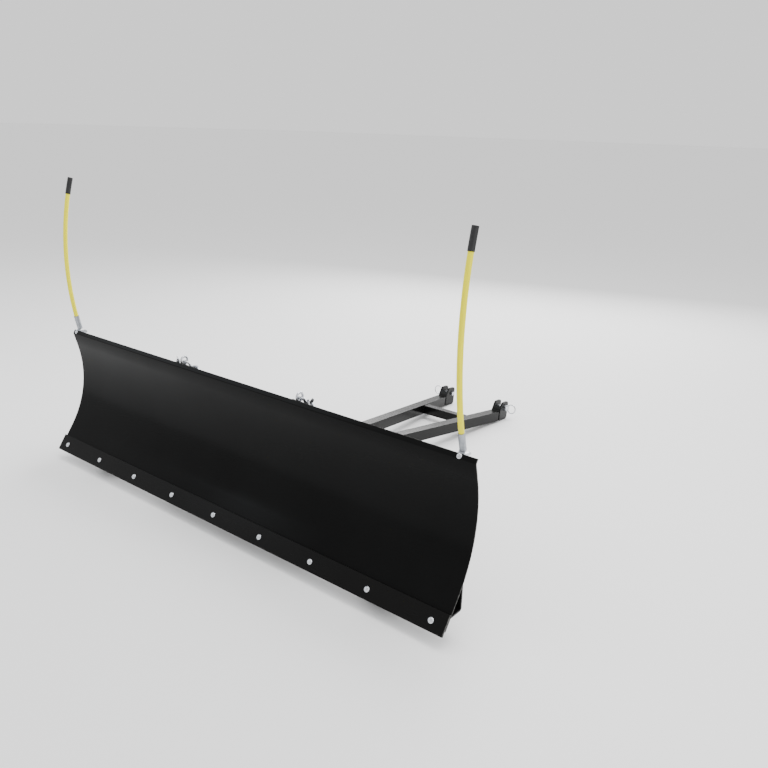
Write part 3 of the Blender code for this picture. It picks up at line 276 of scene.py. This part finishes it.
def worn_iron(name):
    """Cast iron painted black, rubbed back to grey metal on the sole."""
    finish = Finish(name)
    grain = finish.noise(260.0, 6.0, 0.7)
    sole = finish.ramp(finish.height(), 0.004, 0.013, 1.0, 0.0)
    rubbed = finish.times(sole, finish.ramp(finish.noise(55.0, 6.0, 0.75, (0.3, 1.0, 1.0)), 0.42, 0.58))
    paint = finish.mix(finish.ramp(grain, 0.35, 0.7), (0.014, 0.014, 0.014), (0.030, 0.030, 0.029))
    finish.feed("Base Color", finish.mix(rubbed, paint, (0.30, 0.29, 0.28)))
    finish.feed("Metallic", finish.times(rubbed, 0.9))
    finish.feed("Roughness", finish.ramp(grain, 0.3, 0.7, 0.42, 0.66))
    finish.bump((grain, 0.5, 0.0007), (finish.noise(38.0, 3.0), 0.3, 0.0015))
    return finish.material


def marker_yellow(name):
    """Yellow moulded plastic with faint drawn streaks along it and a few smudges."""
    finish = Finish(name, Specular_IOR_Level=0.25)
    streaks = finish.noise(240.0, 4.0, 0.6, (1.0, 1.0, 0.06))
    smudges = finish.ramp(finish.noise(42.0, 6.0, 0.7, (1.0, 1.0, 0.5)), 0.58, 0.78, 0.0, 0.30)
    colour = finish.mix(finish.ramp(streaks, 0.3, 0.7), (0.88, 0.81, 0.0), (0.78, 0.71, 0.0))
    finish.feed("Base Color", finish.mix(smudges, colour, (0.56, 0.49, 0.0)))
    finish.feed("Roughness", finish.ramp(streaks, 0.3, 0.7, 0.34, 0.50))
    finish.bump((streaks, 0.12, 0.0004))
    return finish.material


def black_rubber(name):
    """Matte black vinyl, with a pebbled skin and a paler bloom."""
    finish = Finish(name, Specular_IOR_Level=0.35)
    skin = finish.noise(520.0, 4.0, 0.6)
    bloom = finish.ramp(finish.noise(45.0, 5.0, 0.65), 0.45, 0.75, 0.0, 0.5)
    finish.feed("Base Color", finish.mix(bloom, (0.011, 0.011, 0.012), (0.030, 0.030, 0.031)))
    finish.feed("Roughness", finish.ramp(skin, 0.3, 0.7, 0.48, 0.66))
    finish.bump((skin, 0.25, 0.0003))
    return finish.material


FINISHES = {
    "black_powder_coat": black_paint("powder_coat", (0.0042, 0.0043, 0.0042), 0.16, 0.22, 0.16, 0.08),
    "wear_bar_black": black_paint("wear_bar_paint", (0.0045, 0.0043, 0.0042), 0.09, 0.27, 0.10, 0.20, True),
    "bright_zinc": zinc("bright_zinc_plate", (0.66, 0.68, 0.72), 0.26, 0.10),
    "dull_zinc": zinc("dull_zinc_plate", (0.38, 0.40, 0.43), 0.42, 0.20),
    "skid_cast_iron": worn_iron("skid_iron"),
    "marker_yellow": marker_yellow("marker_plastic"),
    "cap_black": black_rubber("cap_vinyl"),
}
BLADE_PAINT = black_paint("blade_coat", (0.0038, 0.0039, 0.0039), 0.060, 0.17, 0.0, 0.08, True)


def dress(obj, slot):
    obj.data.materials.clear()
    obj.data.materials.append(FINISHES[slot])
    return obj


# ---------------------------------------------------------------- the CAD pieces, with their edges eased

EDGE_WIDTHS = {
    "mouldboard": 0.0005,
    "wear_bar": 0.0004,
    "lower_stiffener": 0.0006,
    "swivel_head": 0.0011,
    "push_tube_left": 0.0016,
    "push_tube_right": 0.0016,
    "rear_cross_tube": 0.0016,
    "turntable_plate": 0.0008,
}
SMALLEST_EDGE = 0.0005


def eased(obj, width):
    """Smooth shading over fine facets, and a small bevel on each sharp edge."""
    mesh = obj.data
    if "custom_normal" in mesh.attributes:
        mesh.attributes.remove(mesh.attributes["custom_normal"])
    mesh.shade_smooth()
    weld = obj.modifiers.new("Weld", "WELD")
    weld.merge_threshold = 0.00001
    merge = obj.modifiers.new("Merge flats", "DECIMATE")
    merge.decimate_type = "DISSOLVE"
    merge.angle_limit = math.radians(0.6)
    bevel = obj.modifiers.new("Bevel", "BEVEL")
    bevel.width = width
    bevel.segments = 2
    bevel.limit_method = "ANGLE"
    bevel.angle_limit = math.radians(32)
    bevel.use_clamp_overlap = True
    bevel.harden_normals = True


SLOT_OF = {subpart["node"]: subpart["material_slot"] for subpart in frame["record"]["subparts"]}
for node, obj in frame["nodes"].items():
    dress(obj, SLOT_OF[node])
    if node == "mouldboard":
        obj.data.materials[0] = BLADE_PAINT
    eased(obj, EDGE_WIDTHS.get(node, SMALLEST_EDGE))


# ---------------------------------------------------------------- mesh helpers for the detailed pieces


def piece(name, bm, slot):
    """A new smooth-shaded object from bm, in the record's material slot."""
    mesh = bpy.data.meshes.new(name)
    bmesh.ops.recalc_face_normals(bm, faces=bm.faces)
    bm.to_mesh(mesh)
    bm.free()
    mesh.shade_smooth()
    mesh.set_sharp_from_angle(angle=math.radians(38))
    obj = bpy.data.objects.new(name, mesh)
    bpy.context.scene.collection.objects.link(obj)
    dress(obj, slot)
    return obj


def add_tube(bm, points, radii, sides, closed_ends=True):
    """A tube along points, with a radius at each one. Its cross-sections don't twist."""
    rings = []
    side_way = None
    for i, point in enumerate(points):
        along = (points[min(i + 1, len(points) - 1)] - points[max(i - 1, 0)]).normalized()
        if side_way is None:
            side_way = along.orthogonal()
        side_way = (side_way - along * side_way.dot(along)).normalized()
        other = along.cross(side_way)
        ring = []
        for j in range(sides):
            angle = 2 * math.pi * j / sides
            offset = side_way * math.cos(angle) + other * math.sin(angle)
            ring.append(bm.verts.new(point + offset * radii[i]))
        rings.append(ring)
    for low, high in zip(rings, rings[1:]):
        for j in range(sides):
            bm.faces.new((low[j], low[(j + 1) % sides], high[(j + 1) % sides], high[j]))
    if closed_ends:
        bm.faces.new(rings[0][::-1])
        bm.faces.new(rings[-1])


def add_lathe(bm, profile, sides, matrix):
    """A solid turned from (radius, height), with its ends on the axis."""
    rings = []
    for radius, height in profile:
        if radius == 0.0:
            rings.append([bm.verts.new(matrix @ Vector((0.0, 0.0, height)))])
            continue
        angles = [2 * math.pi * j / sides for j in range(sides)]
        spots = [Vector((radius * math.cos(a), radius * math.sin(a), height)) for a in angles]
        rings.append([bm.verts.new(matrix @ spot) for spot in spots])
    for low, high in zip(rings, rings[1:]):
        for j in range(sides):
            lower = [low[j % len(low)], low[(j + 1) % len(low)]]
            upper = [high[(j + 1) % len(high)], high[j % len(high)]]
            unique = list(dict.fromkeys(lower + upper))
            if len(unique) > 2:
                bm.faces.new(unique)


# ---------------------------------------------------------------- trip springs


def spring_path(length, turns, per_turn):
    """The wire's middle line: a hook, the coil and the other hook, along +Z from the origin."""
    hook = []
    for i in range(25):
        angle = math.radians(140 - 230 * i / 24)
        hook.append(Vector((HOOK_RADIUS * math.sin(angle), 0.0, HOOK_RADIUS * (1 - math.cos(angle)))))
    neck = [
        Vector((-HOOK_RADIUS - 0.0002, 0.0, HOOK_RADIUS + 0.003)),
        Vector((-HOOK_RADIUS - 0.0012, 0.0004, HOOK_RADIUS + 0.008)),
        Vector((-SPRING_RADIUS + 0.0022, 0.0018, SPRING_HOOK - 0.014)),
        Vector((-SPRING_RADIUS + 0.0008, 0.0032, SPRING_HOOK - 0.009)),
        Vector((-SPRING_RADIUS + 0.0001, 0.0036, SPRING_HOOK - 0.005)),
        Vector((-SPRING_RADIUS - 0.0001, 0.0022, SPRING_HOOK - 0.0018)),
    ]
    count = turns * per_turn
    coil = []
    for i in range(count + 1):
        angle = math.pi + 2 * math.pi * i / per_turn
        height = SPRING_HOOK + (length - 2 * SPRING_HOOK) * i / count
        coil.append(Vector((SPRING_RADIUS * math.cos(angle), SPRING_RADIUS * math.sin(angle), height)))
    first = hook + neck
    last = [Vector((p.x, -p.y, length - p.z)) for p in reversed(first)]
    return first + coil + last


def trip_spring(side_name, side):
    """A close-wound spring from the blade to the frame, replacing the CAD's rigid one. It is drawn at rest and
    doesn't stretch with the trip hinge.
    """
    top = on_blade(side * ANCHOR_X, ANCHOR_Y, ANCHOR_Z)
    foot = on_frame(side * ANCHOR_X, SPRING_FOOT_Y, SPRING_FOOT_Z)
    along = (foot - top).normalized()
    seat_in_eye, seat_in_hole = 0.0037, 0.0016
    top += along * seat_in_eye
    foot -= along * seat_in_hole
    across = Vector((1.0, 0.0, 0.0))
    turned = Matrix((across, along.cross(across), along)).transposed().to_4x4()
    place = Matrix.Translation(top) @ turned
    points = [place @ point for point in spring_path((foot - top).length, SPRING_TURNS, 20)]
    bm = bmesh.new()
    add_tube(bm, points, [SPRING_WIRE] * len(points), 12)
    spring = piece(f"trip_spring_{side_name}_wound", bm, "bright_zinc")
    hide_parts(f"trip_spring_{side_name}")
    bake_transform(spring)


def latch_coil():
    """The coil over the latch pin, carried by the push frame and drawn at rest. In the real latch it is pressed
    against the housing's roof as the pin lifts.
    """
    turns, per_turn = 9, 18
    height = LATCH_COIL_HIGH - LATCH_COIL_LOW
    points = []
    for i in range(turns * per_turn + 1):
        angle = 2 * math.pi * i / per_turn
        share = i / (turns * per_turn)
        closed_up = share + 0.045 * math.sin(2 * math.pi * share) / math.pi
        x, y = LATCH_COIL_RADIUS * math.cos(angle), LATCH_COIL_RADIUS * math.sin(angle)
        points.append(on_frame(x, LATCH_Y + y, LATCH_COIL_LOW + height * closed_up))
    bm = bmesh.new()
    add_tube(bm, points, [LATCH_COIL_WIRE] * len(points), 8)
    coil = piece("latch_spring_wound", bm, "bright_zinc")
    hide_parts("latch_spring")
    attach(coil, "push_frame")
    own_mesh(coil)


for side_name, side in SIDES:
    trip_spring(side_name, side)
latch_coil()


# ---------------------------------------------------------------- carriage bolts


def thread(start, end, radius, pitch=0.00125, depth=0.0005):
    """The profile of a threaded end, from one height down to another."""
    count = max(1, round((start - end) / pitch))
    points = []
    for i in range(count):
        top = start + (end - start) * i / count
        points += [(radius - depth, top), (radius, top - pitch * 0.5)]
    return points + [(radius - depth, end)]


def add_hex_nut(bm, matrix, across, top, bottom):
    """A hexagonal nut with its corners turned off at both ends."""
    corner = across / math.sqrt(3)
    flat = across / 2
    chamfer = (corner - flat) * 0.55
    heights = [(top, flat * 0.97), (top - chamfer, corner), (bottom + chamfer, corner), (bottom, flat * 0.97)]
    rings = []
    for height, radius in heights:
        ring = []
        for j in range(24):
            angle = 2 * math.pi * j / 24
            within = (angle + math.pi / 6) % (math.pi / 3) - math.pi / 6
            reach = min(radius, flat / math.cos(within))
            spot = Vector((reach * math.cos(angle), reach * math.sin(angle), height))
            ring.append(bm.verts.new(matrix @ spot))
        rings.append(ring)
    bm.faces.new(rings[0][::-1])
    bm.faces.new(rings[-1])
    for low, high in zip(rings, rings[1:]):
        for j in range(24):
            bm.faces.new((low[j], low[(j + 1) % 24], high[(j + 1) % 24], high[j]))


def wear_bar_bolts():
    """Domed carriage bolts with flange nuts, each turned a little differently as fitted."""
    head, rise, shank = 0.0074, 0.0044, 0.0038
    flange = 0.0086
    nut_face = -(FACE + SHEET + GAP)
    shank_end = nut_face - 0.0120
    quarter = [math.pi / 2 * i / 10 for i in range(1, 9)]
    profile = [(0.0, rise)] + [(head * math.sin(angle), rise * math.cos(angle)) for angle in quarter]
    profile += [(head, 0.0010), (head, GAP), (shank, GAP), (shank, nut_face)]
    profile += [(flange - 0.0002, nut_face), (flange, nut_face - 0.0005), (flange, nut_face - 0.0012)]
    profile += [(0.0066, nut_face - 0.0020), (shank, nut_face - 0.0020)]
    profile += thread(nut_face - 0.0080, shank_end + 0.0005, shank)
    profile += [(shank - 0.0010, shank_end), (0.0, shank_end)]
    origin = BLADE_ZERO + up(LOWER_LEAN) * BOLT_HEIGHT
    across = Vector((1.0, 0.0, 0.0))
    forward = -back(LOWER_LEAN)
    base = Matrix((across, forward.cross(across), forward)).transposed().to_4x4()
    for i in range(BOLT_COUNT):
        x = BOLT_SPACING * (i - (BOLT_COUNT - 1) / 2)
        place = Matrix.Translation(origin + across * x) @ base @ Matrix.Rotation(0.7 * i, 4, "Z")
        bm = bmesh.new()
        add_lathe(bm, profile, 28, place)
        add_hex_nut(bm, place, 0.0125, nut_face - 0.0010, nut_face - 0.0082)
        bolt = piece(f"carriage_bolt_{i + 1}", bm, "bright_zinc")
        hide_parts(f"wear_bar_bolt_{i + 1}")
        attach(bolt, "blade")


wear_bar_bolts()


# ---------------------------------------------------------------- welds


def bead(bm, start, end, radius=0.0030, seed=0.0):
    """A rippled bead of weld between two points, lumpy and tapered at its ends."""
    length = (end - start).length
    count = max(8, round(length / 0.0011))
    points = []
    radii = []
    for i in range(count + 1):
        share = i / count
        point = start.lerp(end, share)
        wander = noise.noise_vector(point * 90.0 + Vector((seed, seed, seed))) * 0.00035
        points.append(point + wander)
        ripple = 1.0 + 0.10 * math.sin(2 * math.pi * share * length / 0.0042)
        taper = min(1.0, 0.45 + 0.55 * min(share, 1.0 - share) * length / 0.004)
        radii.append(radius * ripple * taper)
    add_tube(bm, points, radii, 8)


def bead_ring(bm, centre, normal, ring_radius, radius=0.0026):
    """A bead round a post or tube."""
    first = normal.orthogonal().normalized()
    second = normal.cross(first)
    count = max(24, round(2 * math.pi * ring_radius / 0.0013))
    points = []
    radii = []
    for i in range(count + 1):
        angle = 2 * math.pi * i / count
        points.append(centre + (first * math.cos(angle) + second * math.sin(angle)) * ring_radius)
        radii.append(radius * (1.0 + 0.10 * math.sin(angle * round(ring_radius * 1500))))
    add_tube(bm, points, radii, 8)


def sheet_back(z):
    """The middle of the sheet's rear surface at a height, as a point of the blade with x = 0."""
    for i in range(200):
        lean = LOWER_LEAN + (UPPER_LEAN - LOWER_LEAN) * i / 199
        point = CURVE_CENTRE + back(lean) * (CURVE_RADIUS + SHEET)
        if point.z >= z:
            return point
    return RIDGE + back(UPPER_LEAN) * SHEET


def blade_welds():
    """Stitches down both sides of each rib, and along the stiffener and the skid brackets."""
    bm = bmesh.new()
    seed = 0.0
    for x in (-OUTER_RIB_X, -INNER_RIB_X, INNER_RIB_X, OUTER_RIB_X):
        for face in (-1.0, 1.0):
            toe = x + face * (RIB_HALF + 0.0008)
            for low in (0.105, 0.180, 0.255, 0.318):
                seed += 1.7
                for step in range(3):
                    z = low + 0.012 * step
                    start, end = (BLADE_ZERO + sheet_back(at) + Vector((toe, 0.0012, 0.0)) for at in (z, z + 0.0125))
                    bead(bm, start, end, 0.0026, seed)
            seed += 1.1
            bead(bm, on_blade(toe, STIFFENER_BACK_Y, 0.0500), on_blade(toe, STIFFENER_BACK_Y, 0.0880), 0.0024, seed)
    stitch_y, stitch_z = 0.0385, 0.0325
    for i in range(11):
        x = -0.700 + 0.140 * i
        seed += 2.3
        bead(bm, on_blade(x, stitch_y, stitch_z), on_blade(x + 0.030, stitch_y, stitch_z), 0.0022, seed)
    for side_name, _ in SIDES:
        low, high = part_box(f"skid_socket_{side_name}")
        foot = BLADE_ZERO + Vector((0.0, STIFFENER_BACK_Y + 0.0002, 0.042))
        for x in (low.x + 0.0005, high.x - 0.0005):
            seed += 1.3
            bead(bm, Vector((x, foot.y, foot.z)), Vector((x, foot.y, foot.z + 0.044)), 0.0022, seed)
    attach(piece("blade_welds", bm, "black_powder_coat"), "blade")


def head_welds():
    """Beads at the hinge ears, the spring arms and along the turntable plate's edge on the beam."""
    bm = bmesh.new()
    seed = 50.0
    ear_y = BEAM_FRONT_Y - 0.0008
    arm_z = -0.0038
    plate_y, plate_z = BEAM_FRONT_Y + 0.0024, -0.0036
    for _, side in SIDES:
        for ear in (-EAR_OFFSET, EAR_OFFSET):
            for face in (-EAR_HALF, EAR_HALF):
                seed += 1.9
                x = side * INNER_RIB_X + ear + face
                bead(bm, on_frame(x, ear_y, -0.0480), on_frame(x, ear_y, -0.0130), 0.0018, seed)
        for face in (-0.0036, 0.0036):
            seed += 1.9
            x = side * ANCHOR_X + face
            start, end = on_frame(x, BEAM_FRONT_Y + 0.004, arm_z), on_frame(x, BEAM_FRONT_Y + 0.046, arm_z)
            bead(bm, start, end, 0.0024, seed)
    for i in range(4):
        seed += 2.9
        x = -0.112 + 0.060 * i
        bead(bm, on_frame(x, plate_y, plate_z), on_frame(x + 0.044, plate_y, plate_z), 0.0024, seed)
    bead_ring(bm, on_frame(0.0, 0.0, 0.0046), FRAME_UP, BUSH_RADIUS, 0.0022)
    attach(piece("head_welds", bm, "black_powder_coat"), "head")


def frame_welds():
    """Beads between the tongue plates, the push tubes, the cross tube, the clevises, the loop and the latch."""
    bm = bmesh.new()
    seed = 90.0
    spread = (REAR_HALF_SPREAD - FRONT_HALF_SPREAD) / (FRAME_LENGTH - TONGUE_FRONT_Y)
    tube_face = TUBE_HALF + 0.0002
    tube_end_y = TONGUE_FRONT_Y - 0.0005
    clevis_y = FRAME_LENGTH + 0.0022
    for _, side in SIDES:
        for z in (-TUBE_HALF - 0.0003, TUBE_HALF + 0.0003):
            seed += 1.9
            start = on_frame(side * (FRONT_HALF_SPREAD + tube_face + spread * 0.010), TONGUE_FRONT_Y + 0.010, z)
            end = on_frame(side * (FRONT_HALF_SPREAD + tube_face + spread * 0.100), TONGUE_FRONT_Y + 0.100, z)
            bead(bm, start, end, 0.0022, seed)
            start, end = (on_frame(side * (FRONT_HALF_SPREAD + x), tube_end_y, z) for x in (-0.015, 0.015))
            bead(bm, start, end, 0.0022, seed + 0.5)
        cross_x = side * (FRONT_HALF_SPREAD + spread * (CROSS_TUBE_Y - TONGUE_FRONT_Y) - 0.0195)
        for z in (-CROSS_TUBE_HALF + 0.0002, CROSS_TUBE_HALF - 0.0002):
            seed += 1.9
            start, end = (on_frame(cross_x, CROSS_TUBE_Y + y, z) for y in (-0.013, 0.013))
            bead(bm, start, end, 0.0022, seed)
        for y in (-CROSS_TUBE_HALF - 0.0005, CROSS_TUBE_HALF + 0.0005):
            seed += 1.9
            start, end = (on_frame(cross_x, CROSS_TUBE_Y + y, z) for z in (-0.013, 0.013))
            bead(bm, start, end, 0.0022, seed)
        clevis_x = side * REAR_HALF_SPREAD
        for x in (-tube_face, tube_face):
            seed += 1.9
            start, end = (on_frame(clevis_x + x, clevis_y, z) for z in (-0.016, 0.016))
            bead(bm, start, end, 0.0022, seed)
        start, end = (on_frame(clevis_x + x, clevis_y, tube_face) for x in (-0.016, 0.016))
        bead(bm, start, end, 0.0022, seed)
        loop_foot = on_frame(side * LIFT_LOOP_LEG_X, LIFT_LOOP_Y, TONGUE_TOP_Z + 0.0002)
        bead_ring(bm, loop_foot, FRAME_UP, LIFT_LOOP_BAR, 0.0018)
    bead_ring(bm, on_frame(0.0, LATCH_Y, TONGUE_TOP_Z + 0.0004), FRAME_UP, LATCH_FLANGE_RADIUS, 0.0018)
    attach(piece("frame_welds", bm, "black_powder_coat"), "push_frame")


blade_welds()
head_welds()
frame_welds()


# ---------------------------------------------------------------- floor, light and camera

CAMERA_PLACE = Vector((1.5131, -1.1955, 1.0286))
CAMERA_YAW = math.radians(37.864)
CAMERA_PITCH = math.radians(18.189)
CAMERA_ROLL = math.radians(1.914)
CAMERA_LENS = 36.28


def floor():
    """A plain floor that reaches the horizon."""
    bm = bmesh.new()
    bmesh.ops.create_grid(bm, x_segments=1, y_segments=1, size=160.0)
    mesh = bpy.data.meshes.new("floor")
    bm.to_mesh(mesh)
    bm.free()
    plane = bpy.data.objects.new("floor", mesh)
    plane.location.z = -0.0004
    bpy.context.scene.collection.objects.link(plane)
    pale = bpy.data.materials.new("pale_floor")
    pale.use_nodes = True
    shader = pale.node_tree.nodes["Principled BSDF"]
    shader.inputs["Base Color"].default_value = (0.93, 0.93, 0.93, 1.0)
    shader.inputs["Roughness"].default_value = 0.9
    shader.inputs["Specular IOR Level"].default_value = 0.1
    mesh.materials.append(pale)


def area_light(name, place, target, size, watts, colour=(1.0, 1.0, 1.0)):
    data = bpy.data.lights.new(name, "AREA")
    data.shape = "RECTANGLE"
    data.size, data.size_y = size
    data.energy = watts
    data.color = colour
    light = bpy.data.objects.new(name, data)
    light.location = place
    light.rotation_euler = (Vector(target) - Vector(place)).to_track_quat("-Z", "Y").to_euler()
    bpy.context.scene.collection.objects.link(light)


def studio():
    """An even white surround and four soft lights."""
    world = bpy.data.worlds.new("studio")
    world.use_nodes = True
    world.node_tree.nodes["Background"].inputs["Color"].default_value = (1.0, 1.0, 1.0, 1.0)
    world.node_tree.nodes["Background"].inputs["Strength"].default_value = 1.15
    bpy.context.scene.world = world
    area_light("overhead", (0.2, 0.4, 3.2), (0.0, 0.0, 0.2), (3.0, 2.4), 110.0)
    area_light("front_left", (-2.8, -2.2, 2.2), (-0.1, -0.4, 0.3), (2.4, 1.6), 20.0, (0.86, 0.93, 1.0))
    area_light("right", (3.0, -0.6, 1.6), (0.2, -0.2, 0.3), (1.2, 1.8), 22.0)
    area_light("behind", (-0.9, 2.8, 1.5), (0.0, 0.0, 0.3), (2.8, 1.2), 75.0)


def camera():
    """The photograph's viewpoint, placed from the blade."""
    ahead = Vector(
        (
            -math.sin(CAMERA_YAW) * math.cos(CAMERA_PITCH),
            math.cos(CAMERA_YAW) * math.cos(CAMERA_PITCH),
            -math.sin(CAMERA_PITCH),
        )
    )
    level = Vector((math.cos(CAMERA_YAW), math.sin(CAMERA_YAW), 0.0))
    upright = level.cross(ahead)
    right_way = level * math.cos(CAMERA_ROLL) + upright * math.sin(CAMERA_ROLL)
    up_way = upright * math.cos(CAMERA_ROLL) - level * math.sin(CAMERA_ROLL)
    data = bpy.data.cameras.new("camera")
    data.lens = CAMERA_LENS
    data.sensor_width = 36.0
    data.clip_end = 500.0
    view = bpy.data.objects.new("camera", data)
    facing = Matrix((right_way, up_way, -ahead)).transposed().to_4x4()
    view.matrix_world = Matrix.Translation(BLADE_ZERO + CAMERA_PLACE) @ facing
    bpy.context.scene.collection.objects.link(view)
    bpy.context.scene.camera = view


floor()
studio()
camera()
